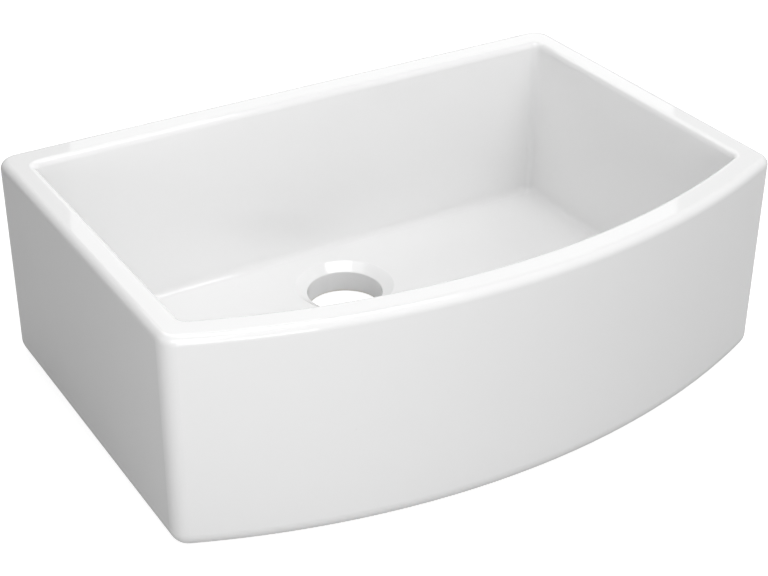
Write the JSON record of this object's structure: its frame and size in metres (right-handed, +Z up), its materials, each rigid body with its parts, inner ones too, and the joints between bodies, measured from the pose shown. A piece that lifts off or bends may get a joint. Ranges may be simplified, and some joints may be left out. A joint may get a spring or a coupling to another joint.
{
  "type": "farmhouse apron front sink",
  "caption": "Single-bowl farmhouse kitchen sink of glazed fireclay, with a bowed apron front, a flat rim and a round drain hole towards the back.",
  "frame": {"origin": "under the middle of the sink, on the plane that its foot stands on", "axes": "+X along the width, to the right of someone standing at the sink; +Y from the apron to the back face; +Z up, out of the bowl"},
  "size_m": [0.762, 0.5329, 0.254],
  "materials": {
    "raw_fireclay": "matte",
    "white_glaze": "gloss"
  },
  "bodies": {
    "root": {"fireclay_body": "raw_fireclay", "glaze_coat": "white_glaze"}
  },
  "joints": []
}
